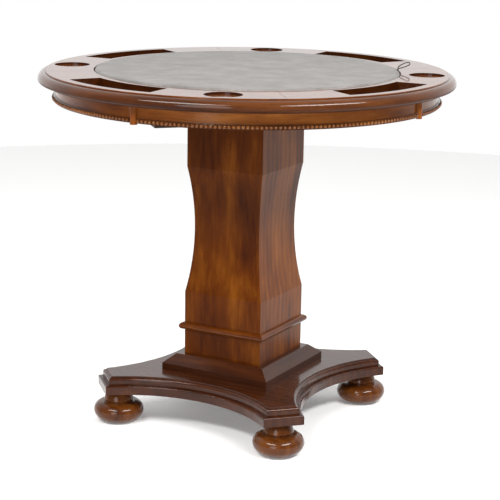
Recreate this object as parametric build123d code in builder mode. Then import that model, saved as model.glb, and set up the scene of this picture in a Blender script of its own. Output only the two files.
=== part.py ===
from build123d import *
import os
from math import asin, cos, degrees, pi, radians, sin, sqrt, tan

# Round counter-height game table on a square pedestal.
# Millimetres, +Z up, origin on the floor under the column's axis.
# Front is -Y and right is +X. Angles round the table run from +X towards +Y.

os.makedirs("parts", exist_ok=True)

# ---------------------------------------------------------------- overall
table_height = 927.0          # floor to the top face of the rim boards
top_diameter = 1079.5         # over the edge moulding

# ---------------------------------------------------------------- feet
foot_radius = 66.0
foot_height = 83.0            # glide to the underside of the base
foot_inset = 26.5             # foot centre inside the clipped end of an arm, along the diagonal
foot_sole_radius = 38.0
foot_belly_height = 27.0      # sole to the widest ring
foot_shoulder_radius = 23.0   # roll from the widest ring to the top of the bun
foot_top_radius = 26.0        # under the base
foot_ring_radius = 39.0       # widest ring of the sloping neck
foot_ring_height = 57.0       # sole to that ring
foot_ring_round = 3.0
glide_radius = 27.0
glide_thickness = 3.0
hanger_bolt_diameter = 10.0
hanger_bolt_length = 64.0

# ---------------------------------------------------------------- base platform
base_thickness = 46.0
arm_reach = 368.0             # axis to the clipped end of an arm, at the top face
arm_width = 72.6              # clipped end, at the top face
base_waist = 206.5            # axis to the deepest point of a hollow side
fascia_height = 24.0          # plain lower band
fascia_proud = 18.5           # band's face outside the top face's edge
ovolo_radius = 8.0
top_fillet_height = 3.0       # small square step over the ovolo
fascia_round = 4.0

# ---------------------------------------------------------------- pedestal column
column_half_top = 112.0       # axis to face, above the waist
column_half_bottom = 114.5    # axis to face, below the waist
column_half_waist = 96.8      # axis to face, at the waist
column_wall = 34.0            # panel thickness at the top
lower_knee_height = 210.0     # base top to the start of the waist curve
upper_knee_drop = 144.0       # column top to the end of the waist curve
block_fit = 0.2               # each side, between a block and the panels round it
block_height = 40.0

collar_height = 20.0
collar_proud = 12.0
collar_rise = 116.0           # base top to the middle of the collar

plinth_height = 40.0
plinth_proud = 43.5           # column face to the plinth's upright face
plinth_ledge = 15.5           # column face to the outer edge of the plinth's top ledge
plinth_face_height = 16.5

# ---------------------------------------------------------------- bearers and tie rod
main_bearer_depth = 108.0
cross_bearer_depth = 70.0
bearer_width = 45.0
bearer_length = 500.0
bearer_fit = 0.25             # each side of a bearer in its housing
tie_rod_diameter = 12.0
tie_rod_clearance = 0.6       # on the radius
washer_radius = 17.0
washer_thickness = 2.5
nut_across_flats = 18.0
nut_height = 10.0
nut_recess_depth = 20.0
nut_recess_radius = 20.0
lag_screw_diameter = 8.0
lag_screw_length = 70.0
lag_head_radius = 7.0
lag_head_height = 5.5
lag_screw_offset = 48.0       # from the axis, along X and along Y
top_screw_diameter = 6.0
top_screw_head_radius = 6.0
top_screw_head_height = 4.0
top_screw_offset = 205.0      # from the axis, along a bearer
top_screw_bite = 11.0         # into the sub-top
top_screw_shank = 40.0        # bearer wood under the sub-top
screw_head_gap = 0.6          # round a sunk screw head

# ---------------------------------------------------------------- top
rim_board_thickness = 18.0
sub_top_thickness = 16.5
rim_board_width = 125.0
rim_edge_round = 1.0
rim_joint_chamfer = 0.8
rim_turn = -50.5              # angle of one joint between two rim boards

well_inset = 19.0             # rim board's inner edge to the well
well_width = 82.0
well_sweep = 34.0
well_lead = 35.8              # rim joint to the middle of the well
well_corner_radius = 2.0

glass_recess_diameter = 92.0
glass_recess_depth = 6.0
glass_recess_inset = 58.0     # rim board's outer edge to the middle of the recess
glass_recess_lead = 73.0      # rim joint to the middle of the recess

moulding_width = 18.75        # rim board's edge to the moulding's widest line
moulding_rebate = 35.0        # moulding's tongue under the rim board, to the sub-top
moulding_step = 3.5           # rim board's edge left showing over the moulding
moulding_turn = -93.0         # angle of one joint between two edge mouldings
nose_widest_drop = 21.0       # rim top to the widest line of the nosing
nose_lip_radius = 8.0

# ---------------------------------------------------------------- apron
apron_setback = 44.75         # moulding's widest line to the apron's outer face
apron_thickness = 18.0
apron_height = 41.5
bead_strip_height = 12.0
bead_strip_thickness = 5.0
bead_radius = 4.3
bead_pitch = 10.7
bead_strip_gap = 0.5          # from the strip's end to the pilaster
pilaster_radius = 10.0
pilaster_overhang = 3.5       # below the apron
splice_sweep = 12.0
splice_thickness = 18.0
splice_recess = 4.0           # apron's lower edge to the block
glue_block_size = 25.0
glue_block_sweep = 5.0

# ---------------------------------------------------------------- playing panel
panel_gap = 1.5               # all round, to the rim boards
panel_proud = 4.0             # above the rim boards
panel_edge_round = 9.0
covering_thickness = 1.6
backing_thickness = 1.5

# ---------------------------------------------------------------- pull loop
loop_cord_diameter = 2.8
loop_turn = 31.0              # angle of the loop round the table
loop_root_inset = 4.0         # panel's outer edge to the cord's hole
loop_hole_depth = 6.5

# ---------------------------------------------------------------- derived sizes
foot_offset = (arm_reach - foot_inset) / sqrt(2)    # foot centre from the axis, along X and along Y
column_bore_half = column_half_top - column_wall    # axis to the inner face of a panel
plinth_half_bottom = column_half_bottom + plinth_proud
plinth_half_top = column_half_bottom + plinth_ledge
nose_radius = top_diameter / 2
rim_outer_radius = nose_radius - moulding_width
rim_inner_radius = rim_outer_radius - rim_board_width
sub_top_radius = rim_outer_radius - moulding_rebate
well_inner_radius = rim_inner_radius + well_inset
well_outer_radius = well_inner_radius + well_width
glass_recess_radius = rim_outer_radius - glass_recess_inset    # axis to the middle of the recess
apron_radius = nose_radius - apron_setback                     # outer face
base_bottom = glide_thickness + foot_height
base_top = base_bottom + base_thickness
sub_top_top = table_height - rim_board_thickness
top_underside = sub_top_top - sub_top_thickness
main_bearer_bottom = top_underside - main_bearer_depth
column_top = top_underside - cross_bearer_depth
apron_bottom = top_underside - apron_height
panel_radius = rim_inner_radius - panel_gap
panel_top = table_height + panel_proud

SIDES = {"front": -90.0, "right": 0.0, "back": 90.0, "left": 180.0}
CORNERS = {"front_left": (-1, -1), "front_right": (1, -1), "back_right": (1, 1), "back_left": (-1, 1)}
QUARTERS = (0, 1, 2, 3)


def write_part(builder, name):
    """Label one finished piece and write its STEP file."""
    builder.part.label = name
    export_step(builder.part, f"parts/{name}.step")


def plan_plane(angle, height):
    """Level plane whose x direction points outwards at the angle."""
    turn = radians(angle)
    return Plane(origin=(0, 0, height), x_dir=(cos(turn), sin(turn), 0), z_dir=(0, 0, 1))


def section_plane(angle):
    """Upright plane through the axis: x runs outwards at the angle, y runs up."""
    turn = radians(angle)
    return Plane(origin=(0, 0, 0), x_dir=(cos(turn), sin(turn), 0), z_dir=(sin(turn), -cos(turn), 0))


def polar_point(radius, angle):
    return (radius * cos(radians(angle)), radius * sin(radians(angle)))


# ================================================================ feet
for corner, (x_sign, y_sign) in CORNERS.items():
    foot_x = x_sign * foot_offset
    foot_y = y_sign * foot_offset
    belly = glide_thickness + foot_belly_height
    shoulder_radius = foot_radius - foot_shoulder_radius
    shoulder = belly + foot_shoulder_radius
    ring = glide_thickness + foot_ring_height
    quirk_radius = foot_ring_radius - foot_ring_round
    slope_middle = ((foot_ring_radius + foot_top_radius) / 2 + 1.7, (ring + base_bottom) / 2 + 0.8)
    foot_plane = Plane(origin=(foot_x, foot_y, 0), x_dir=(1, 0, 0), z_dir=(0, -1, 0))
    with BuildPart() as bun_foot:
        with BuildSketch(foot_plane):
            with BuildLine():
                Line((0, glide_thickness), (foot_sole_radius, glide_thickness))
                EllipticalCenterArc(
                    (foot_sole_radius, belly), foot_radius - foot_sole_radius, foot_belly_height,
                    start_angle=270, arc_size=90,
                )
                CenterArc((shoulder_radius, belly), foot_shoulder_radius, 0, 90)
                Polyline(
                    (shoulder_radius, shoulder), (quirk_radius, shoulder),
                    (quirk_radius, ring - foot_ring_round),
                )
                CenterArc((quirk_radius, ring), foot_ring_round, 270, 90)
                ThreePointArc((foot_ring_radius, ring), slope_middle, (foot_top_radius, base_bottom))
                Polyline((foot_top_radius, base_bottom), (0, base_bottom), (0, glide_thickness))
            make_face()
        revolve(axis=Axis((foot_x, foot_y, 0), (0, 0, 1)))
        with BuildSketch(Plane.XY.offset(base_bottom)):
            with Locations((foot_x, foot_y)):
                Circle(hanger_bolt_diameter / 2)
        extrude(amount=-hanger_bolt_length / 2, mode=Mode.SUBTRACT)
    write_part(bun_foot, f"bun_foot_{corner}")

with BuildPart() as foot_glides:
    with BuildSketch():
        with GridLocations(2 * foot_offset, 2 * foot_offset, 2, 2):
            Circle(glide_radius)
    extrude(amount=glide_thickness)
write_part(foot_glides, "foot_glides")

with BuildPart() as foot_hanger_bolts:
    with BuildSketch(Plane.XY.offset(base_bottom - hanger_bolt_length / 2)):
        with GridLocations(2 * foot_offset, 2 * foot_offset, 2, 2):
            Circle(hanger_bolt_diameter / 2)
    extrude(amount=hanger_bolt_length)
write_part(foot_hanger_bolts, "foot_hanger_bolts")

# ================================================================ base platform
near = (arm_reach - arm_width / 2) / sqrt(2)
far = (arm_reach + arm_width / 2) / sqrt(2)


def base_outline(height, grow):
    """Plan of the base: clipped arms on the diagonals and hollow sides, grown by an even margin."""
    with BuildSketch(Plane.XY.offset(height)) as outline:
        with BuildLine():
            ThreePointArc((-near, -far), (0, -base_waist), (near, -far))
            Line((near, -far), (far, -near))
            ThreePointArc((far, -near), (base_waist, 0), (far, near))
            Line((far, near), (near, far))
            ThreePointArc((near, far), (0, base_waist), (-near, far))
            Line((-near, far), (-far, near))
            ThreePointArc((-far, near), (-base_waist, 0), (-far, -near))
            Line((-far, -near), (-near, -far))
        make_face()
        if grow > 0:
            offset(amount=grow, kind=Kind.INTERSECTION)
    return outline.sketch


fascia_top = base_bottom + fascia_height
ovolo_top = base_top - top_fillet_height
with BuildPart() as base_platform:
    add(base_outline(base_bottom, fascia_proud))
    extrude(amount=fascia_height)
    fillet(base_platform.edges().group_by(Axis.Z)[-1], fascia_round)
    add(base_outline(fascia_top, ovolo_radius))
    extrude(amount=ovolo_top - fascia_top)
    fillet(base_platform.edges().group_by(Axis.Z)[-1], ovolo_radius)
    add(base_outline(ovolo_top, 0))
    extrude(amount=top_fillet_height)
    with BuildSketch(Plane.XY.offset(base_bottom)):
        with GridLocations(2 * foot_offset, 2 * foot_offset, 2, 2):
            Circle(hanger_bolt_diameter / 2)
    extrude(amount=hanger_bolt_length / 2, mode=Mode.SUBTRACT)
    with BuildSketch(Plane.XY.offset(base_bottom)):
        Circle(nut_recess_radius)
    extrude(amount=nut_recess_depth, mode=Mode.SUBTRACT)
    with BuildSketch(Plane.XY.offset(base_bottom)):
        Circle(tie_rod_diameter / 2 + tie_rod_clearance)
    extrude(amount=base_thickness, mode=Mode.SUBTRACT)
    with BuildSketch(Plane.XY.offset(base_bottom)):
        with GridLocations(2 * lag_screw_offset, 2 * lag_screw_offset, 2, 2):
            Circle(lag_head_radius + screw_head_gap)
    extrude(amount=lag_head_height, mode=Mode.SUBTRACT)
    with BuildSketch(Plane.XY.offset(base_bottom)):
        with GridLocations(2 * lag_screw_offset, 2 * lag_screw_offset, 2, 2):
            Circle(lag_screw_diameter / 2)
    extrude(amount=base_thickness, mode=Mode.SUBTRACT)
write_part(base_platform, "base_platform")

with BuildPart() as base_lag_screws:
    with BuildSketch(Plane.XY.offset(base_bottom)):
        with GridLocations(2 * lag_screw_offset, 2 * lag_screw_offset, 2, 2):
            RegularPolygon(lag_head_radius, 6)
    extrude(amount=lag_head_height)
    with BuildSketch(Plane.XY.offset(base_bottom + lag_head_height)):
        with GridLocations(2 * lag_screw_offset, 2 * lag_screw_offset, 2, 2):
            Circle(lag_screw_diameter / 2)
    extrude(amount=lag_screw_length)
write_part(base_lag_screws, "base_lag_screws")

# ================================================================ column
lower_knee = base_top + lower_knee_height
upper_knee = column_top - upper_knee_drop
wedge = 2 * column_half_bottom
housing_half = bearer_width / 2 + bearer_fit


def mitre_wedge(angle, height):
    """Plan of the quarter between the two diagonals either side of the angle."""
    with BuildSketch(plan_plane(angle, height)) as quarter_plan:
        with BuildLine():
            Polyline((0, 0), (wedge, wedge), (wedge, -wedge), (0, 0))
        make_face()
    return quarter_plan.sketch


for side, angle in SIDES.items():
    with BuildPart() as column_panel:
        with BuildSketch(section_plane(angle)):
            with BuildLine():
                Polyline(
                    (column_half_top, upper_knee), (column_half_top, column_top),
                    (column_bore_half, column_top), (column_bore_half, base_top),
                    (column_half_bottom, base_top), (column_half_bottom, lower_knee),
                )
                ThreePointArc(
                    (column_half_bottom, lower_knee), (column_half_waist, (lower_knee + upper_knee) / 2),
                    (column_half_top, upper_knee),
                )
            make_face()
        extrude(amount=column_half_bottom + 1, both=True)
        extrude(mitre_wedge(angle, base_top), amount=column_top - base_top, mode=Mode.INTERSECT)
        with BuildSketch(plan_plane(45, main_bearer_bottom)):
            Rectangle(bearer_length, 2 * housing_half)
        extrude(amount=column_top - main_bearer_bottom, mode=Mode.SUBTRACT)
    write_part(column_panel, f"column_panel_{side}")

block_side = 2 * (column_bore_half - block_fit)
with BuildPart() as column_bottom_block:
    with BuildSketch(Plane.XY.offset(base_top)):
        Rectangle(block_side, block_side)
        Circle(tie_rod_diameter / 2 + tie_rod_clearance, mode=Mode.SUBTRACT)
    extrude(amount=block_height)
    with BuildSketch(Plane.XY.offset(base_top)):
        with GridLocations(2 * lag_screw_offset, 2 * lag_screw_offset, 2, 2):
            Circle(lag_screw_diameter / 2)
    lag_tip = base_bottom + lag_head_height + lag_screw_length
    extrude(amount=lag_tip - base_top, mode=Mode.SUBTRACT)
write_part(column_bottom_block, "column_bottom_block")

with BuildPart() as column_top_block:
    with BuildSketch(Plane.XY.offset(main_bearer_bottom - block_height)):
        Rectangle(block_side, block_side)
        Circle(tie_rod_diameter / 2 + tie_rod_clearance, mode=Mode.SUBTRACT)
    extrude(amount=block_height)
write_part(column_top_block, "column_top_block")

for side, angle in SIDES.items():
    collar_middle = base_top + collar_rise
    with BuildPart() as collar_bead:
        with BuildSketch(section_plane(angle)):
            with BuildLine():
                Line(
                    (column_half_bottom, collar_middle - collar_height / 2),
                    (column_half_bottom, collar_middle + collar_height / 2),
                )
                EllipticalCenterArc(
                    (column_half_bottom, collar_middle), collar_proud, collar_height / 2,
                    start_angle=270, arc_size=180,
                )
            make_face()
        extrude(amount=column_half_bottom + collar_proud + 1, both=True)
        collar_bottom = collar_middle - collar_height
        extrude(mitre_wedge(angle, collar_bottom), amount=2 * collar_height, mode=Mode.INTERSECT)
    write_part(collar_bead, f"collar_bead_{side}")

for side, angle in SIDES.items():
    with BuildPart() as plinth_moulding:
        with BuildSketch(section_plane(angle)):
            with BuildLine():
                Polyline(
                    (column_half_bottom, base_top), (plinth_half_bottom, base_top),
                    (plinth_half_bottom, base_top + plinth_face_height),
                    (plinth_half_top, base_top + plinth_height),
                    (column_half_bottom, base_top + plinth_height), (column_half_bottom, base_top),
                )
            make_face()
        extrude(amount=plinth_half_bottom + 1, both=True)
        extrude(mitre_wedge(angle, base_top), amount=plinth_height, mode=Mode.INTERSECT)
    write_part(plinth_moulding, f"plinth_moulding_{side}")

# ================================================================ bearers
lap_height = column_top + cross_bearer_depth / 2
head_height = top_underside - top_screw_shank


def bearer_pair(angle, height, radius):
    """A circle near each end of the bearer that lies at the angle."""
    with BuildSketch(plan_plane(angle, height)) as circles:
        with Locations((-top_screw_offset, 0), (top_screw_offset, 0)):
            Circle(radius)
    return circles.sketch


with BuildPart() as main_bearer:
    with BuildSketch(plan_plane(45, main_bearer_bottom)):
        Rectangle(bearer_length, bearer_width)
        Circle(tie_rod_diameter / 2 + tie_rod_clearance, mode=Mode.SUBTRACT)
    extrude(amount=main_bearer_depth)
    with BuildSketch(plan_plane(45, lap_height)):
        Rectangle(bearer_width + 2 * bearer_fit, bearer_width)
    extrude(amount=top_underside - lap_height, mode=Mode.SUBTRACT)
    counterbore = bearer_pair(45, main_bearer_bottom, top_screw_head_radius + screw_head_gap)
    extrude(counterbore, amount=head_height - main_bearer_bottom, mode=Mode.SUBTRACT)
    screw_hole = bearer_pair(45, main_bearer_bottom, top_screw_diameter / 2)
    extrude(screw_hole, amount=top_underside - main_bearer_bottom, mode=Mode.SUBTRACT)
write_part(main_bearer, "main_bearer")

with BuildPart() as cross_bearer:
    with BuildSketch(plan_plane(-45, column_top)):
        Rectangle(bearer_length, bearer_width)
        Circle(tie_rod_diameter / 2 + tie_rod_clearance, mode=Mode.SUBTRACT)
    extrude(amount=cross_bearer_depth)
    with BuildSketch(plan_plane(-45, column_top)):
        Rectangle(bearer_width + 2 * bearer_fit, bearer_width)
    extrude(amount=lap_height - column_top, mode=Mode.SUBTRACT)
    with BuildSketch(plan_plane(-45, top_underside)):
        Circle(nut_recess_radius - 1)
    extrude(amount=-nut_recess_depth, mode=Mode.SUBTRACT)
    counterbore = bearer_pair(-45, column_top, top_screw_head_radius + screw_head_gap)
    extrude(counterbore, amount=head_height - column_top, mode=Mode.SUBTRACT)
    screw_hole = bearer_pair(-45, column_top, top_screw_diameter / 2)
    extrude(screw_hole, amount=top_underside - column_top, mode=Mode.SUBTRACT)
write_part(cross_bearer, "cross_bearer")

with BuildPart() as bearer_screws:
    for angle in (45, -45):
        screw_head = bearer_pair(angle, head_height - top_screw_head_height, top_screw_head_radius)
        extrude(screw_head, amount=top_screw_head_height)
        screw_shank = bearer_pair(angle, head_height, top_screw_diameter / 2)
        extrude(screw_shank, amount=top_screw_shank + top_screw_bite)
write_part(bearer_screws, "bearer_screws")

rod_bottom = base_bottom + nut_recess_depth - washer_thickness - nut_height - 3
rod_top = top_underside - nut_recess_depth + washer_thickness + nut_height + 3
with BuildPart() as tie_rod:
    with BuildSketch(Plane.XY.offset(rod_bottom)):
        Circle(tie_rod_diameter / 2)
    extrude(amount=rod_top - rod_bottom)
write_part(tie_rod, "tie_rod")

bottom_seat = base_bottom + nut_recess_depth
top_seat = top_underside - nut_recess_depth
with BuildPart() as tie_rod_washers:
    for washer_bottom in (bottom_seat - washer_thickness, top_seat):
        with BuildSketch(Plane.XY.offset(washer_bottom)):
            Circle(washer_radius)
            Circle(tie_rod_diameter / 2, mode=Mode.SUBTRACT)
        extrude(amount=washer_thickness)
write_part(tie_rod_washers, "tie_rod_washers")

with BuildPart() as tie_rod_nuts:
    for nut_bottom in (bottom_seat - washer_thickness - nut_height, top_seat + washer_thickness):
        with BuildSketch(Plane.XY.offset(nut_bottom)):
            RegularPolygon(nut_across_flats / 2, 6, major_radius=False)
            Circle(tie_rod_diameter / 2, mode=Mode.SUBTRACT)
        extrude(amount=nut_height)
write_part(tie_rod_nuts, "tie_rod_nuts")

# ================================================================ top
with BuildPart() as sub_top:
    with BuildSketch(Plane.XY.offset(top_underside)):
        Circle(sub_top_radius)
    extrude(amount=sub_top_thickness)
    for angle in (45, -45):
        screw_hole = bearer_pair(angle, top_underside, top_screw_diameter / 2)
        extrude(screw_hole, amount=top_screw_bite, mode=Mode.SUBTRACT)
write_part(sub_top, "sub_top")


def section(angle, corners):
    """Face through the corners, in the upright plane at the angle."""
    with BuildSketch(section_plane(angle)) as profile:
        with BuildLine():
            Polyline(*corners, corners[0])
        make_face()
    return profile.sketch


def rectangle_corners(inner, bottom, outer, top):
    return [(inner, bottom), (outer, bottom), (outer, top), (inner, top)]


def joint_groove(angle):
    """V section of the fine groove along a joint between two rim boards."""
    turn = radians(angle)
    start = polar_point(rim_inner_radius - 1, angle)
    groove_plane = Plane(
        origin=(*start, table_height), x_dir=(-sin(turn), cos(turn), 0), z_dir=(cos(turn), sin(turn), 0)
    )
    with BuildSketch(groove_plane) as groove:
        with BuildLine():
            Polyline(
                (-rim_joint_chamfer, 0), (0, -rim_joint_chamfer), (rim_joint_chamfer, 0),
                (0, rim_joint_chamfer), (-rim_joint_chamfer, 0),
            )
        make_face()
    return groove.sketch


for quarter in QUARTERS:
    joint = rim_turn + 90 * quarter
    well_middle = joint + well_lead
    with BuildPart() as rim_board:
        corners = rectangle_corners(rim_inner_radius, sub_top_top, rim_outer_radius, table_height)
        revolve(section(joint, corners), axis=Axis.Z, revolution_arc=90)
        top_edges = rim_board.edges().group_by(Axis.Z)[-1]
        fillet(top_edges.filter_by(GeomType.CIRCLE), rim_edge_round)
        for end in (joint, joint + 90):
            extrude(joint_groove(end), amount=rim_outer_radius - rim_inner_radius + 2, mode=Mode.SUBTRACT)
        with BuildSketch(Plane.XY.offset(sub_top_top)):
            with BuildLine():
                CenterArc((0, 0), well_outer_radius, well_middle - well_sweep / 2, well_sweep)
                CenterArc((0, 0), well_inner_radius, well_middle - well_sweep / 2, well_sweep)
                for end in (well_middle - well_sweep / 2, well_middle + well_sweep / 2):
                    Line(polar_point(well_inner_radius, end), polar_point(well_outer_radius, end))
            well_face = make_face()
            fillet(well_face.vertices(), well_corner_radius)
        extrude(amount=rim_board_thickness, mode=Mode.SUBTRACT)
        with BuildSketch(Plane.XY.offset(table_height)):
            with Locations(polar_point(glass_recess_radius, joint + glass_recess_lead)):
                Circle(glass_recess_diameter / 2)
        extrude(amount=-glass_recess_depth, mode=Mode.SUBTRACT)
    write_part(rim_board, f"rim_board_{quarter + 1}")

nose_top = table_height - moulding_step
nose_widest = table_height - nose_widest_drop
nose_lip = nose_widest - nose_lip_radius
cove_height = nose_lip - top_underside
for quarter in QUARTERS:
    joint = moulding_turn + 90 * quarter
    with BuildPart() as edge_moulding:
        with BuildSketch(section_plane(joint)):
            with BuildLine():
                Polyline(
                    (rim_outer_radius + 2, nose_top), (rim_outer_radius, nose_top),
                    (rim_outer_radius, sub_top_top), (sub_top_radius, sub_top_top),
                    (sub_top_radius, top_underside),
                    (nose_radius - nose_lip_radius - 2 * cove_height, top_underside),
                )
                EllipticalCenterArc(
                    (nose_radius - nose_lip_radius, top_underside), 2 * cove_height, cove_height,
                    start_angle=180, arc_size=-90,
                )
                CenterArc((nose_radius - nose_lip_radius, nose_widest), nose_lip_radius, 270, 90)
                EllipticalCenterArc(
                    (rim_outer_radius + 2, nose_widest),
                    nose_radius - rim_outer_radius - 2, nose_top - nose_widest,
                    start_angle=0, arc_size=90,
                )
            make_face()
        revolve(axis=Axis.Z, revolution_arc=90)
    write_part(edge_moulding, f"edge_moulding_{quarter + 1}")

# ================================================================ apron
splice_outer = apron_radius - apron_thickness
for quarter in QUARTERS:
    joint = moulding_turn + 90 * quarter
    with BuildPart() as apron_panel:
        corners = rectangle_corners(splice_outer, apron_bottom, apron_radius, top_underside)
        revolve(section(joint, corners), axis=Axis.Z, revolution_arc=90)
    write_part(apron_panel, f"apron_panel_{quarter + 1}")

strip_radius = apron_radius + bead_strip_thickness
strip_margin = degrees(asin((pilaster_radius + bead_strip_gap) / apron_radius))
strip_sweep = 90 - 2 * strip_margin
bead_count = int(radians(strip_sweep) * strip_radius / bead_pitch)
bead_step = strip_sweep / bead_count
strip_start = moulding_turn + strip_margin
with BuildPart() as strip_pattern:
    strip_top = apron_bottom + bead_strip_height
    corners = rectangle_corners(apron_radius, apron_bottom, strip_radius, strip_top)
    revolve(section(strip_start, corners), axis=Axis.Z, revolution_arc=strip_sweep)
    with Locations((0, 0, apron_bottom + bead_strip_height / 2)):
        with PolarLocations(
            strip_radius, bead_count, start_angle=strip_start + bead_step / 2,
            angular_range=bead_step * (bead_count - 1), endpoint=True,
        ):
            Sphere(bead_radius)
for quarter in QUARTERS:
    with BuildPart() as bead_strip:
        add(strip_pattern.part.rotate(Axis.Z, 90 * quarter))
    write_part(bead_strip, f"bead_strip_{quarter + 1}")

for quarter in QUARTERS:
    joint = moulding_turn + 90 * quarter
    with BuildPart() as pilaster:
        with BuildSketch(Plane.XY.offset(apron_bottom - pilaster_overhang)):
            with Locations(polar_point(apron_radius, joint)):
                Circle(pilaster_radius)
            Circle(apron_radius, mode=Mode.SUBTRACT)
        extrude(amount=apron_height + pilaster_overhang)
    write_part(pilaster, f"pilaster_{quarter + 1}")

splice_inner = splice_outer - splice_thickness
with BuildPart() as apron_splice_blocks:
    for quarter in QUARTERS:
        splice_start = moulding_turn + 90 * quarter - splice_sweep / 2
        corners = rectangle_corners(splice_inner, apron_bottom + splice_recess, splice_outer, top_underside)
        revolve(section(splice_start, corners), axis=Axis.Z, revolution_arc=splice_sweep)
write_part(apron_splice_blocks, "apron_splice_blocks")

with BuildPart() as apron_glue_blocks:
    for step in range(12):
        block_start = moulding_turn + 30 * step + 15 - glue_block_sweep / 2
        corners = [
            (splice_outer, top_underside - glue_block_size), (splice_outer, top_underside),
            (splice_outer - glue_block_size, top_underside),
        ]
        revolve(section(block_start, corners), axis=Axis.Z, revolution_arc=glue_block_sweep)
write_part(apron_glue_blocks, "apron_glue_blocks")

# ================================================================ playing panel
loop_root_radius = panel_radius - loop_root_inset

# Cord points as (outwards from the loop's holes, sideways, above the panel's top face).
LOOP_POINTS = [
    (0, -2.2, -6.5),
    (0, -2.2, 3.5),
    (9.0, -3.0, 6.0),
    (18.0, -2.4, 8.6),
    (26.0, -1.5, 11.6),
    (32.5, -0.3, 15.4),
    (29.0, 0.9, 21.2),
    (19.0, 1.9, 18.3),
    (6.5, 2.6, 12.0),
    (0, 2.4, 5.5),
    (0, 2.4, -6.5),
]
loop_ends = (LOOP_POINTS[0], LOOP_POINTS[-1])

round_start = panel_radius - panel_edge_round
core_bottom = sub_top_top + backing_thickness
core_radius = panel_radius - covering_thickness
core_top = panel_top - covering_thickness
core_round = panel_edge_round - covering_thickness


def loop_holes():
    """Plan of the two blind holes for the ends of the pull loop."""
    with BuildSketch(plan_plane(loop_turn, panel_top)) as holes:
        with Locations(*[(loop_root_radius + out, sideways) for out, sideways, _ in loop_ends]):
            Circle(loop_cord_diameter / 2)
    return holes.sketch


with BuildPart() as playing_panel_core:
    with BuildSketch(Plane.XZ):
        with BuildLine():
            Polyline(
                (round_start, core_top), (0, core_top), (0, core_bottom), (core_radius, core_bottom),
                (core_radius, core_top - core_round),
            )
            CenterArc((round_start, core_top - core_round), core_round, 0, 90)
        make_face()
    revolve(axis=Axis.Z)
    extrude(loop_holes(), amount=-loop_hole_depth, mode=Mode.SUBTRACT)
write_part(playing_panel_core, "playing_panel_core")

with BuildPart() as playing_panel_covering:
    with BuildSketch(Plane.XZ):
        with BuildLine():
            Polyline(
                (round_start, panel_top), (0, panel_top), (0, core_top), (round_start, core_top),
            )
            CenterArc((round_start, core_top - core_round), core_round, 0, 90)
            Polyline(
                (core_radius, core_top - core_round), (core_radius, core_bottom),
                (panel_radius, core_bottom), (panel_radius, panel_top - panel_edge_round),
            )
            CenterArc((round_start, panel_top - panel_edge_round), panel_edge_round, 0, 90)
        make_face()
    revolve(axis=Axis.Z)
    extrude(loop_holes(), amount=-loop_hole_depth, mode=Mode.SUBTRACT)
write_part(playing_panel_covering, "playing_panel_covering")

with BuildPart() as playing_panel_backing:
    with BuildSketch(Plane.XY.offset(sub_top_top)):
        Circle(panel_radius)
    extrude(amount=backing_thickness)
write_part(playing_panel_backing, "playing_panel_backing")


# ================================================================ pull loop
def cord_radii(points):
    """Bend radius at each inner point: 0.45 of the shorter run over the tangent of half the turn."""
    radii = []
    for before, here, after in zip(points, points[1:], points[2:]):
        first = Vector(*here) - Vector(*before)
        second = Vector(*after) - Vector(*here)
        half_turn = radians(first.get_angle(second)) / 2
        radii.append(0.45 * min(first.length, second.length) / tan(half_turn))
    return radii


loop_frame = plan_plane(loop_turn, panel_top)
loop_path_points = [
    loop_frame.from_local_coords(Vector(loop_root_radius + out, sideways, up))
    for out, sideways, up in LOOP_POINTS
]
loop_radii = cord_radii([tuple(point) for point in loop_path_points])
print("pull loop bend radii, mm:", [round(radius, 1) for radius in loop_radii])
with BuildPart() as pull_loop:
    with BuildLine() as loop_path:
        FilletPolyline(*loop_path_points, radius=loop_radii)
    with BuildSketch(Plane(origin=loop_path.line @ 0, z_dir=loop_path.line % 0)):
        Circle(loop_cord_diameter / 2)
    sweep()
loop_length = sum(edge.length for edge in loop_path.edges())
tube_volume = pi * loop_cord_diameter**2 / 4 * loop_length
print(f"pull loop length {loop_length:.1f}, volume over tube {pull_loop.part.volume / tube_volume:.4f}")
write_part(pull_loop, "pull_loop")
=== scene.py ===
import bpy
import bmesh
import math
from mathutils import Matrix, Vector, noise


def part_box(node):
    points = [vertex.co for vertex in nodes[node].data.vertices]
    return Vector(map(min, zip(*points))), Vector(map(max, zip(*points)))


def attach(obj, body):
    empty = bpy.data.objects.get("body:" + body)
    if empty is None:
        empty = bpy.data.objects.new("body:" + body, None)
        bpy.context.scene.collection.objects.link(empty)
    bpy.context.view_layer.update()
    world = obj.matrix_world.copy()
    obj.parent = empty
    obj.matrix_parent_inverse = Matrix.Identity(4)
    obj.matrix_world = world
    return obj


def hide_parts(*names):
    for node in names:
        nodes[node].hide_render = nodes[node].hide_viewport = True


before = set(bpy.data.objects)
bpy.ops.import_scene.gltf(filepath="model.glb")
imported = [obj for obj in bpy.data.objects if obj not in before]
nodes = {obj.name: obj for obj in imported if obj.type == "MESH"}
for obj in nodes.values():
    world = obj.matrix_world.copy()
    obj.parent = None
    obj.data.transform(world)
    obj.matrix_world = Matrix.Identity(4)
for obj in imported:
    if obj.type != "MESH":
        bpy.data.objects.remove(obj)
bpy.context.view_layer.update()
scene = bpy.context.scene
VIEW_AZIMUTH = 29.3      # degrees from the front towards the right, for the camera and the lit backdrop
LACQUER_IOR = 1.31       # lower than a real lacquer's, so that the pale floor does not wash the stain out
RIM_EDGE = (0.515, 0.517)        # metres from the axis, where the rim boards' top face ends
FLOOR_RADIUS = 4.2
LOOP_TURN = 31           # degrees round the panel from the right, as in the CAD
LOOP_INSET = 0.004       # metres in from the covering's edge
CORD_DIAMETER = 0.0028
scene.view_settings.view_transform = "Standard"
scene.view_settings.look = "None"


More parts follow.
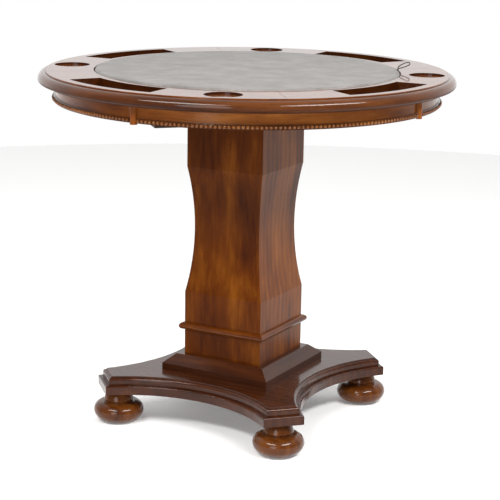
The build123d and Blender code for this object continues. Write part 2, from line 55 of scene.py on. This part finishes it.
# ---------------------------------------------------------------- camera
def place_camera(distance, height, azimuth, pitch, yaw, roll, lens):
    """Camera at an azimuth from the front towards the right, looking over the table's axis."""
    a, p, y, r = (math.radians(v) for v in (azimuth, pitch, yaw, roll))
    forward = Vector((-math.sin(a), math.cos(a), 0))
    right = Vector((math.cos(a), math.sin(a), 0))
    up = Vector((0, 0, 1))
    forward, right = forward * math.cos(y) + right * math.sin(y), right * math.cos(y) - forward * math.sin(y)
    forward, up = forward * math.cos(p) - up * math.sin(p), up * math.cos(p) + forward * math.sin(p)
    right, up = right * math.cos(r) + up * math.sin(r), up * math.cos(r) - right * math.sin(r)
    data = bpy.data.cameras.new("camera")
    data.sensor_width = 36
    data.lens = lens
    data.clip_end = 200
    cam = bpy.data.objects.new("camera", data)
    scene.collection.objects.link(cam)
    place = Matrix.Identity(4)
    for row in range(3):
        place[row][0], place[row][1], place[row][2] = right[row], up[row], -forward[row]
    place.translation = (math.sin(a) * distance, -math.cos(a) * distance, height)
    cam.matrix_world = place
    scene.camera = cam


place_camera(distance=4.1253, height=1.4504, azimuth=VIEW_AZIMUTH, pitch=13.68, yaw=0.20, roll=0.93,
             lens=114.8)


# ---------------------------------------------------------------- node helpers
class Nodes:
    """Short calls for building one material's node tree."""

    def __init__(self, name):
        self.material = bpy.data.materials.new(name)
        self.material.use_nodes = True
        self.tree = self.material.node_tree
        self.shader = self.tree.nodes["Principled BSDF"]

    def add(self, kind, **values):
        node = self.tree.nodes.new(kind)
        for key, value in values.items():
            setattr(node, key, value)
        return node

    def link(self, source, target):
        self.tree.links.new(source, target)

    def math(self, operation, a, b=0.0, clamp=False):
        node = self.add("ShaderNodeMath", operation=operation, use_clamp=clamp)
        for socket, value in zip(node.inputs, (a, b)):
            if isinstance(value, (int, float)):
                socket.default_value = value
            else:
                self.link(value, socket)
        return node.outputs[0]

    def place(self):
        return self.add("ShaderNodeTexCoord").outputs["Object"]

    def mapping(self, vector, scale=(1, 1, 1), turn=(0, 0, 0), move=(0, 0, 0)):
        node = self.add("ShaderNodeMapping")
        node.inputs["Location"].default_value = move
        node.inputs["Rotation"].default_value = turn
        node.inputs["Scale"].default_value = scale
        self.link(vector, node.inputs["Vector"])
        return node.outputs[0]

    def noise(self, vector, scale, detail=3.0, rough=0.5, distortion=0.0):
        node = self.add("ShaderNodeTexNoise")
        node.inputs["Scale"].default_value = scale
        node.inputs["Detail"].default_value = detail
        node.inputs["Roughness"].default_value = rough
        node.inputs["Distortion"].default_value = distortion
        self.link(vector, node.inputs["Vector"])
        return node.outputs[0]

    def ramp(self, value, *stops):
        node = self.add("ShaderNodeValToRGB")
        ramp = node.color_ramp
        while len(ramp.elements) < len(stops):
            ramp.elements.new(0.5)
        for element, (position, colour) in zip(ramp.elements, stops):
            element.position = position
            if isinstance(colour, (int, float)):
                colour = (colour, colour, colour)
            element.color = (*colour, 1)
        self.link(value, node.inputs[0])
        return node.outputs[0]

    def span(self, value, low, high, to_low=0.0, to_high=1.0):
        node = self.add("ShaderNodeMapRange")
        node.inputs["From Min"].default_value = low
        node.inputs["From Max"].default_value = high
        node.inputs["To Min"].default_value = to_low
        node.inputs["To Max"].default_value = to_high
        self.link(value, node.inputs["Value"])
        return node.outputs[0]

    def mix(self, factor, a, b, kind="MIX"):
        node = self.add("ShaderNodeMix", data_type="RGBA", blend_type=kind)
        for socket, value in ((node.inputs[0], factor), (node.inputs[6], a), (node.inputs[7], b)):
            if isinstance(value, (int, float)):
                socket.default_value = value
            elif isinstance(value, tuple):
                socket.default_value = (*value, 1)
            else:
                self.link(value, socket)
        return node.outputs[2]

    def bump(self, height, distance, strength=1.0, normal=None):
        node = self.add("ShaderNodeBump")
        node.inputs["Strength"].default_value = strength
        node.inputs["Distance"].default_value = distance
        self.link(height, node.inputs["Height"])
        if normal is not None:
            self.link(normal, node.inputs["Normal"])
        return node.outputs[0]

    def set(self, **values):
        names = {"coat": "Coat Weight", "coat_rough": "Coat Roughness", "coat_ior": "Coat IOR", "ior": "IOR",
                 "metal": "Metallic", "rough": "Roughness", "specular": "Specular IOR Level",
                 "sheen": "Sheen Weight", "sheen_rough": "Sheen Roughness"}
        for key, value in values.items():
            self.shader.inputs[names[key]].default_value = value


# ---------------------------------------------------------------- wood
# Each tone is (dark glaze, body colour, light figure).
RED_BROWN = ((0.030, 0.0055, 0.0006), (0.078, 0.0175, 0.0010), (0.150, 0.043, 0.0030))
# a lighter copy of RED_BROWN for the column's left and right panels: painted light on the sides that face
# the stronger lamp
LIT_SIDE_BROWN = ((0.042, 0.0080, 0.0008), (0.112, 0.0270, 0.0016), (0.200, 0.060, 0.0050))
WARM_BROWN = ((0.050, 0.0105, 0.0014), (0.115, 0.0285, 0.0030), (0.190, 0.058, 0.0075))
FOOT_BROWN = ((0.034, 0.0080, 0.0014), (0.082, 0.0220, 0.0030), (0.140, 0.044, 0.0070))
EDGE_BROWN = ((0.028, 0.0065, 0.0014), (0.062, 0.0165, 0.0030), (0.110, 0.034, 0.0070))
# a lighter tone for the apron and pilasters: painted light falling on these upright faces from the front
LIT_SKIRT_BROWN = ((0.066, 0.0140, 0.0016), (0.178, 0.0480, 0.0055), (0.310, 0.104, 0.0160))
BEAD_BROWN = ((0.040, 0.0100, 0.0014), (0.150, 0.0450, 0.0065), (0.270, 0.100, 0.0220))
DARK_BROWN = ((0.020, 0.0050, 0.0015), (0.038, 0.0095, 0.0026), (0.064, 0.018, 0.0050))
DEEP_BROWN = ((0.010, 0.0035, 0.0018), (0.020, 0.0065, 0.0030), (0.034, 0.012, 0.0055))
BARE = ((0.36, 0.22, 0.12), (0.55, 0.38, 0.23), (0.68, 0.51, 0.33))


def wood(name, tone, grain="X", turn=0.0, move=(0, 0, 0), coat=1.0, coat_rough=0.09, blotch=0.6, rough=0.42,
         ring=None, walls_stain_and_shade=False, shaded_underside=False):
    """Stained timber under lacquer. grain is the fibres' axis, or "round" for pieces bent round the axis."""
    n = Nodes(name)
    dark, body, light = tone
    where = n.place()
    if grain == "round":
        where = n.mapping(where, turn=(0, 0, math.radians(turn)))
        parts = n.add("ShaderNodeSeparateXYZ")
        n.link(where, parts.inputs[0])
        x, y, z = parts.outputs
        around = n.math("MULTIPLY", n.math("ARCTAN2", y, x), 0.5)
        radius = n.math("SQRT", n.math("ADD", n.math("MULTIPLY", x, x), n.math("MULTIPLY", y, y)))
        joined = n.add("ShaderNodeCombineXYZ")
        for socket, value in zip(joined.inputs, (around, radius, z)):
            n.link(value, socket)
        where = n.mapping(joined.outputs[0], move=move)
    else:
        spin = {"X": (0, 0, math.radians(turn)), "Y": (0, 0, math.radians(90 + turn)),
                "Z": (0, math.pi / 2, 0)}
        where = n.mapping(where, turn=spin[grain], move=move)
    # soft drift of the fibres, so that no streak runs dead straight
    drift = n.add("ShaderNodeTexNoise")
    drift.inputs["Scale"].default_value = 3.5
    drift.inputs["Detail"].default_value = 2
    n.link(where, drift.inputs["Vector"])
    lean = n.add("ShaderNodeVectorMath", operation="MULTIPLY_ADD")
    n.link(drift.outputs["Color"], lean.inputs[0])
    lean.inputs[1].default_value = (0.0, 0.035, 0.035)
    n.link(where, lean.inputs[2])
    along = lean.outputs[0]

    patches = n.noise(n.mapping(along, scale=(2.6, 15, 15)), 1.0, 3, 0.55)
    flecks = n.noise(n.mapping(along, scale=(11, 42, 42), move=(3, 1, 2)), 1.0, 4, 0.6)
    streaks = n.noise(n.mapping(along, scale=(5, 150, 150)), 1.0, 5, 0.62)
    lines = n.noise(n.mapping(along, scale=(14, 620, 620)), 1.0, 3, 0.6)
    figure = n.add("ShaderNodeTexWave", bands_direction="Y", wave_profile="SIN")
    figure.inputs["Scale"].default_value = 9
    figure.inputs["Distortion"].default_value = 5.5
    figure.inputs["Detail"].default_value = 3
    figure.inputs["Detail Scale"].default_value = 1.2
    n.link(n.mapping(along, scale=(0.35, 1.6, 1.6)), figure.inputs["Vector"])
    pores = n.noise(n.mapping(along, scale=(90, 1700, 1700)), 1.0, 2, 0.5)
    pore_mask = n.span(pores, 0.60, 0.70)

    tone_value = n.math("ADD", n.math("MULTIPLY", patches, blotch), n.math("MULTIPLY", streaks, 0.28))
    tone_value = n.math("ADD", tone_value, n.math("MULTIPLY", flecks, 0.34))
    tone_value = n.math("ADD", tone_value, n.math("MULTIPLY", figure.outputs["Fac"], 0.10))
    tone_value = n.math("ADD", tone_value, n.math("MULTIPLY", lines, 0.16))
    middle = 0.5 * (blotch + 0.28 + 0.34 + 0.16) + 0.05
    shade = n.span(tone_value, middle - 0.22, middle + 0.24)
    colour = n.ramp(shade, (0.0, dark), (0.48, body), (1.0, light))
    colour = n.mix(n.math("MULTIPLY", pore_mask, 0.45), colour, tuple(c * 0.35 for c in dark))
    # painted shade in the crevices where the beads meet each other and the apron: the colour darkens
    # inwards, from the outer radius to the inner one
    if ring is not None:
        low, high = ring
        colour = n.mix(n.span(radius, low, high), tuple(c * 0.5 for c in dark), colour)
    if walls_stain_and_shade:
        # the upright walls of the wells and glass recesses are darker than the top face: painted shade in
        # the recesses, over the darker stain of the well interiors
        facing, spot = n.add("ShaderNodeSeparateXYZ"), n.add("ShaderNodeSeparateXYZ")
        n.link(n.add("ShaderNodeNewGeometry").outputs["True Normal"], facing.inputs[0])
        n.link(n.place(), spot.inputs[0])
        level = n.span(n.math("ABSOLUTE", facing.outputs[2]), 0.3, 0.6)
        x, y, _ = spot.outputs
        reach = n.math("SQRT", n.math("ADD", n.math("MULTIPLY", x, x), n.math("MULTIPLY", y, y)))
        top_face = n.math("MAXIMUM", level, n.span(reach, *RIM_EDGE), clamp=True)
        colour = n.mix(top_face, n.mix(1.0, colour, (0.30, 0.26, 0.24), "MULTIPLY"), colour)
    n.link(colour, n.shader.inputs["Base Color"])
    n.link(n.span(streaks, 0.3, 0.7, rough - 0.08, rough + 0.10), n.shader.inputs["Roughness"])
    surface = n.math("SUBTRACT", n.math("MULTIPLY", lines, 0.4), n.math("MULTIPLY", pore_mask, 0.8))
    n.link(n.bump(surface, 0.00012, 0.6), n.shader.inputs["Normal"])
    if coat:
        ripple = n.noise(n.mapping(where, scale=(1, 1, 1)), 45, 2, 0.5)
        n.link(n.bump(ripple, 0.00016, 0.5), n.shader.inputs["Coat Normal"])
        n.set(coat=coat, coat_rough=coat_rough, coat_ior=LACQUER_IOR)
    if shaded_underside:
        # painted shade on faces that look down: a darker colour there, and a thinner lacquer
        facing = n.add("ShaderNodeSeparateXYZ")
        n.link(n.add("ShaderNodeNewGeometry").outputs["True Normal"], facing.inputs[0])
        upward = n.span(facing.outputs[2], -0.25, 0.15)
        painted_shade = n.mix(1.0, colour, (0.75, 0.70, 0.66), "MULTIPLY")
        n.link(n.mix(upward, painted_shade, colour), n.shader.inputs["Base Color"])
        n.link(n.span(facing.outputs[2], -0.25, 0.15, 0.25 * coat, coat), n.shader.inputs["Coat Weight"])
    n.set(ior=1.45, specular=0.04 if coat > 0.1 else 0.4)
    return n.material


def paint(node, material):
    mesh = nodes[node].data
    mesh.materials.clear()
    mesh.materials.append(material)


column_front = wood("lacquered_column_front", RED_BROWN, "Z", move=(0.3, 0.12, 0.05), coat=0.12,
                    coat_rough=0.28, blotch=0.75)
# the left and right panels take a lighter copy of the front's stain: painted light on the more strongly lit
# sides, which also carry more lacquer
lit_column_side = wood("lacquered_column_side", LIT_SIDE_BROWN, "Z", move=(0.9, 0.41, 0.33), coat=0.6,
                   coat_rough=0.28, blotch=0.75)
for side, material in (("front", column_front), ("back", column_front),
                       ("right", lit_column_side), ("left", lit_column_side)):
    paint(f"column_panel_{side}", material)
trim_x = wood("lacquered_trim_x", RED_BROWN, "X", move=(0.1, 0.7, 0.2))
trim_y = wood("lacquered_trim_y", RED_BROWN, "Y", move=(0.5, 0.2, 0.6))
plinth_x = wood("lacquered_plinth_x", DARK_BROWN, "X", move=(0.2, 0.1, 0.4), coat_rough=0.16)
plinth_y = wood("lacquered_plinth_y", DARK_BROWN, "Y", move=(0.7, 0.3, 0.1), coat_rough=0.16)
for side in ("front", "back"):
    paint(f"collar_bead_{side}", trim_x)
    paint(f"plinth_moulding_{side}", plinth_x)
for side in ("left", "right"):
    paint(f"collar_bead_{side}", trim_y)
    paint(f"plinth_moulding_{side}", plinth_y)
paint("base_platform", wood("lacquered_base", DARK_BROWN, "X", move=(0.6, 0.8, 0.3), coat_rough=0.13))
turned = wood("lacquered_feet", FOOT_BROWN, "Z", move=(0.4, 0.6, 0.9), coat_rough=0.08)
for name in nodes:
    if name.startswith("bun_foot"):
        paint(name, turned)
for quarter in range(4):
    number = quarter + 1
    middle = -50.5 + 90 * quarter + 45
    # the rim boards get painted shade on the upright walls of their wells and glass recesses
    paint(f"rim_board_{number}",
          wood(f"lacquered_rim_{number}", WARM_BROWN, "Y", turn=-middle,
               move=(0.37 * number, 0.21 * number, 0), blotch=0.45, coat_rough=0.07, walls_stain_and_shade=True))
# the nosing's downward faces carry painted shade
edge = wood("lacquered_edge", EDGE_BROWN, "round", turn=3, move=(0, 0.2, 0.1), coat_rough=0.08,
            shaded_underside=True)
# the apron and pilasters take the lighter tone: painted light from the front
skirt = wood("lacquered_apron", LIT_SKIRT_BROWN, "round", turn=3, move=(0.4, 0.5, 0.7), coat_rough=0.14)
# the bead strips darken towards the apron: painted shade between and behind the beads
beads = wood("lacquered_beads", BEAD_BROWN, "round", turn=3, coat_rough=0.06, ring=(0.4994, 0.5022))
upright = wood("lacquered_pilaster", LIT_SKIRT_BROWN, "Z", move=(0.2, 0.9, 0.5), coat_rough=0.10)
for number in (1, 2, 3, 4):
    paint(f"edge_moulding_{number}", edge)
    paint(f"apron_panel_{number}", skirt)
    paint(f"bead_strip_{number}", beads)
    paint(f"pilaster_{number}", upright)
paint("sub_top", wood("stained_sub_top", DEEP_BROWN, "X", move=(0.2, 0.4, 0.1), coat=0.35, coat_rough=0.3))
paint("main_bearer", wood("stained_main_bearer", DEEP_BROWN, "X", turn=-45, coat=0.0, rough=0.5))
paint("cross_bearer", wood("stained_cross_bearer", DEEP_BROWN, "X", turn=45, coat=0.0, rough=0.5))
bare = wood("bare_timber", BARE, "X", coat=0.0, rough=0.6, blotch=0.35)
for name in ("apron_glue_blocks", "apron_splice_blocks", "column_bottom_block", "column_top_block",
             "playing_panel_core"):
    paint(name, bare)
paint("playing_panel_backing", wood("veneer_backing", WARM_BROWN, "X", move=(0.9, 0.1, 0.2), blotch=0.45))


# ---------------------------------------------------------------- metal and plastic
def zinc():
    n = Nodes("zinc_plate")
    where = n.place()
    spangle = n.add("ShaderNodeTexVoronoi")
    spangle.inputs["Scale"].default_value = 900
    n.link(where, spangle.inputs["Vector"])
    haze = n.noise(where, 160, 4, 0.6)
    n.link(n.mix(haze, (0.42, 0.43, 0.46), (0.72, 0.72, 0.74)), n.shader.inputs["Base Color"])
    n.link(n.span(haze, 0.3, 0.7, 0.28, 0.48), n.shader.inputs["Roughness"])
    n.link(n.bump(spangle.outputs["Distance"], 0.00005, 0.3), n.shader.inputs["Normal"])
    n.set(metal=1.0)
    return n.material


def moulded_plastic():
    n = Nodes("moulded_glide")
    where = n.place()
    grain = n.noise(where, 1400, 3, 0.6)
    scuffs = n.noise(where, 60, 4, 0.7)
    n.link(n.mix(scuffs, (0.030, 0.027, 0.025), (0.075, 0.068, 0.062)), n.shader.inputs["Base Color"])
    n.link(n.span(scuffs, 0.3, 0.7, 0.42, 0.62), n.shader.inputs["Roughness"])
    n.link(n.bump(grain, 0.00008, 0.5), n.shader.inputs["Normal"])
    return n.material


metal = zinc()
for name in ("base_lag_screws", "bearer_screws", "foot_hanger_bolts",
             "tie_rod", "tie_rod_nuts", "tie_rod_washers"):
    paint(name, metal)
paint("foot_glides", moulded_plastic())


# ---------------------------------------------------------------- playing surface
def leather():
    n = Nodes("grey_leather")
    where = n.place()
    clouds = n.noise(where, 17, 5, 0.62)
    mottle = n.noise(where, 120, 4, 0.65)
    fleck = n.noise(where, 520, 3, 0.6)
    cells = n.add("ShaderNodeTexVoronoi", feature="DISTANCE_TO_EDGE")
    cells.inputs["Scale"].default_value = 620
    bent = n.add("ShaderNodeVectorMath", operation="MULTIPLY_ADD")
    wobble = n.add("ShaderNodeTexNoise")
    wobble.inputs["Scale"].default_value = 300
    n.link(where, wobble.inputs["Vector"])
    n.link(wobble.outputs["Color"], bent.inputs[0])
    bent.inputs[1].default_value = (0.0012, 0.0012, 0.0012)
    n.link(where, bent.inputs[2])
    n.link(bent.outputs[0], cells.inputs["Vector"])
    creases = n.span(cells.outputs["Distance"], 0.0, 0.22)
    tone = n.math("ADD", n.math("MULTIPLY", clouds, 0.45), n.math("MULTIPLY", mottle, 0.35))
    tone = n.math("ADD", tone, n.math("MULTIPLY", fleck, 0.25))
    colour = n.ramp(n.span(tone, 0.36, 0.68), (0.0, (0.125, 0.115, 0.107)), (0.5, (0.215, 0.199, 0.186)),
                    (1.0, (0.325, 0.302, 0.283)))
    colour = n.mix(n.span(creases, 0.0, 1.0, 0.55, 0.0), colour, (0.035, 0.034, 0.032))
    n.link(colour, n.shader.inputs["Base Color"])
    n.link(n.span(mottle, 0.3, 0.7, 0.36, 0.52), n.shader.inputs["Roughness"])
    height = n.math("ADD", n.math("MULTIPLY", creases, 0.7), n.math("MULTIPLY", fleck, 0.5))
    n.link(n.bump(height, 0.00022, 0.7), n.shader.inputs["Normal"])
    n.set(ior=1.5, specular=0.55)
    return n.material


def leather_cover():
    """The stretched covering: flat on top, rolled over the edge and pulled down in faint puckers."""
    low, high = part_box("playing_panel_covering")
    radius = high.x
    roll = 0.009
    rows = []
    flat_steps = 44
    for step in range(flat_steps + 1):
        rows.append(((radius - roll) * step / flat_steps, high.z, 0.0))
    for step in range(1, 13):
        angle = math.pi / 2 * step / 12
        rows.append((radius - roll + roll * math.sin(angle),
                     high.z - roll + roll * math.cos(angle), step / 12))
    rows.append((radius, (high.z - roll + low.z) / 2, 0.8))
    rows.append((radius, low.z + 0.0012, 0.3))
    rows.append((radius - 0.0006, low.z + 0.0003, 0.0))
    around = 480
    bm = bmesh.new()
    rings = []
    for distance, height, pull in rows[1:]:
        ring = []
        for step in range(around):
            turn = 2 * math.pi * step / around
            x, y = distance * math.cos(turn), distance * math.sin(turn)
            ease = min(1.0, distance / radius)
            ripple = 0.5 + 0.5 * noise.noise(Vector((x * 14, y * 14, 3.1)))
            sink = 0.00035 * ripple * ease
            pucker = pull * 0.0007 * (0.5 + 0.5 * noise.noise(Vector((turn * 19, 0.4, 7.7))))
            shrink = 1 - pucker / distance
            ring.append(bm.verts.new((x * shrink, y * shrink, height - sink)))
        rings.append(ring)
    middle = bm.verts.new((0, 0, high.z))
    for step in range(around):
        after = (step + 1) % around
        bm.faces.new((middle, rings[0][step], rings[0][after]))
        for inner, outer in zip(rings, rings[1:]):
            bm.faces.new((inner[step], outer[step], outer[after], inner[after]))
    mesh = bpy.data.meshes.new("leather_cover")
    bm.to_mesh(mesh)
    bm.free()
    for polygon in mesh.polygons:
        polygon.use_smooth = True
    piece = bpy.data.objects.new("leather_cover", mesh)
    scene.collection.objects.link(piece)
    mesh.materials.append(leather())
    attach(piece, "playing_panel")
    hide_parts("playing_panel_covering")


leather_cover()


# ---------------------------------------------------------------- pull loop
LOOP_POINTS = [
    (0, -0.0022, -0.0065),
    (0, -0.0022, 0.0035),
    (0.0090, -0.0030, 0.0060),
    (0.0180, -0.0024, 0.0086),
    (0.0260, -0.0015, 0.0116),
    (0.0325, -0.0003, 0.0154),
    (0.0290, 0.0009, 0.0212),
    (0.0190, 0.0019, 0.0183),
    (0.0065, 0.0026, 0.0120),
    (0, 0.0024, 0.0055),
    (0, 0.0024, -0.0065),
]


def cord_material():
    n = Nodes("black_cord")
    where = n.place()
    braid = n.add("ShaderNodeTexWave", bands_direction="DIAGONAL")
    braid.inputs["Scale"].default_value = 420
    braid.inputs["Distortion"].default_value = 1.2
    n.link(where, braid.inputs["Vector"])
    fuzz = n.noise(where, 2600, 3, 0.6)
    n.link(n.mix(braid.outputs["Fac"], (0.008, 0.008, 0.008), (0.035, 0.033, 0.032)),
           n.shader.inputs["Base Color"])
    n.link(n.span(fuzz, 0.3, 0.7, 0.55, 0.8), n.shader.inputs["Roughness"])
    n.link(n.bump(n.math("ADD", braid.outputs["Fac"], fuzz), 0.0002, 0.8), n.shader.inputs["Normal"])
    n.set(sheen=0.25)
    return n.material


def pull_loop():
    low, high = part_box("playing_panel_covering")
    root = high.x - LOOP_INSET
    turn = math.radians(LOOP_TURN)
    out = Vector((math.cos(turn), math.sin(turn), 0))
    side = Vector((-math.sin(turn), math.cos(turn), 0))
    curve = bpy.data.curves.new("pull_cord", "CURVE")
    curve.dimensions = "3D"
    curve.bevel_depth = CORD_DIAMETER / 2
    curve.bevel_resolution = 6
    curve.resolution_u = 16
    curve.use_fill_caps = True
    spline = curve.splines.new("NURBS")
    spline.points.add(len(LOOP_POINTS) - 1)
    places = [out * (root + a) + side * b + Vector((0, 0, high.z + c)) for a, b, c in LOOP_POINTS]
    for point, place in zip(spline.points, places):
        point.co = (*place, 1)
    spline.order_u = 3
    spline.use_endpoint_u = True
    piece = bpy.data.objects.new("pull_cord", curve)
    scene.collection.objects.link(piece)
    curve.materials.append(cord_material())
    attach(piece, "playing_panel")
    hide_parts("pull_loop")


pull_loop()


# ---------------------------------------------------------------- floor and light
def floor():
    mesh = bpy.data.meshes.new("floor")
    bm = bmesh.new()
    bmesh.ops.create_circle(bm, cap_ends=True, segments=128, radius=FLOOR_RADIUS)
    bm.to_mesh(mesh)
    bm.free()
    piece = bpy.data.objects.new("floor", mesh)
    piece.location = (0, 0, -0.0004)
    scene.collection.objects.link(piece)
    n = Nodes("pale_floor")
    tint = n.noise(n.place(), 0.8, 2, 0.5)
    n.link(n.mix(tint, (0.945, 0.945, 0.94), (0.965, 0.965, 0.96)), n.shader.inputs["Base Color"])
    n.shader.inputs["Emission Color"].default_value = (1, 1, 1, 1)
    n.shader.inputs["Emission Strength"].default_value = 0.12
    n.set(rough=0.85, specular=0.15)
    mesh.materials.append(n.material)


def softbox(name, azimuth, elevation, distance, size, power):
    a, e = math.radians(azimuth), math.radians(elevation)
    target = Vector((0, 0, 0.5))
    data = bpy.data.lights.new(name, "AREA")
    data.shape = "ELLIPSE"
    data.size, data.size_y = size
    data.energy = power
    light = bpy.data.objects.new(name, data)
    aim = Vector((math.sin(a) * math.cos(e), -math.cos(a) * math.cos(e), math.sin(e)))
    light.location = target + aim * distance
    light.rotation_euler = aim.to_track_quat("Z", "Y").to_euler()
    scene.collection.objects.link(light)


def studio():
    """Bright surroundings behind the table, dimmer ones in front, as in a studio with a lit backdrop."""
    world = bpy.data.worlds.new("studio")
    scene.world = world
    world.use_nodes = True
    tree = world.node_tree
    background = tree.nodes["Background"]
    where = tree.nodes.new("ShaderNodeTexCoord")
    facing = tree.nodes.new("ShaderNodeVectorMath")
    facing.operation = "DOT_PRODUCT"
    a = math.radians(VIEW_AZIMUTH)
    facing.inputs[1].default_value = (-math.sin(a), math.cos(a), 0.25)
    tree.links.new(where.outputs["Generated"], facing.inputs[0])
    glow = tree.nodes.new("ShaderNodeMapRange")
    glow.interpolation_type = "SMOOTHSTEP"
    for key, value in (("From Min", -0.25), ("From Max", 0.70), ("To Min", 0.26), ("To Max", 1.12)):
        glow.inputs[key].default_value = value
    tree.links.new(facing.outputs["Value"], glow.inputs["Value"])
    path = tree.nodes.new("ShaderNodeLightPath")
    pick = tree.nodes.new("ShaderNodeMix")
    pick.data_type = "FLOAT"
    tree.links.new(path.outputs["Is Camera Ray"], pick.inputs[0])
    tree.links.new(glow.outputs[0], pick.inputs[2])
    pick.inputs[3].default_value = 1.0
    background.inputs[0].default_value = (1, 1, 1, 1)
    tree.links.new(pick.outputs[0], background.inputs[1])


floor()
studio()
softbox("softbox_left", -6, 40, 3.3, (2.4, 0.6), 75)
softbox("softbox_right", 72, 40, 3.3, (2.4, 0.6), 105)
softbox("front_fill", 8, 10, 6.0, (3.0, 3.0), 110)
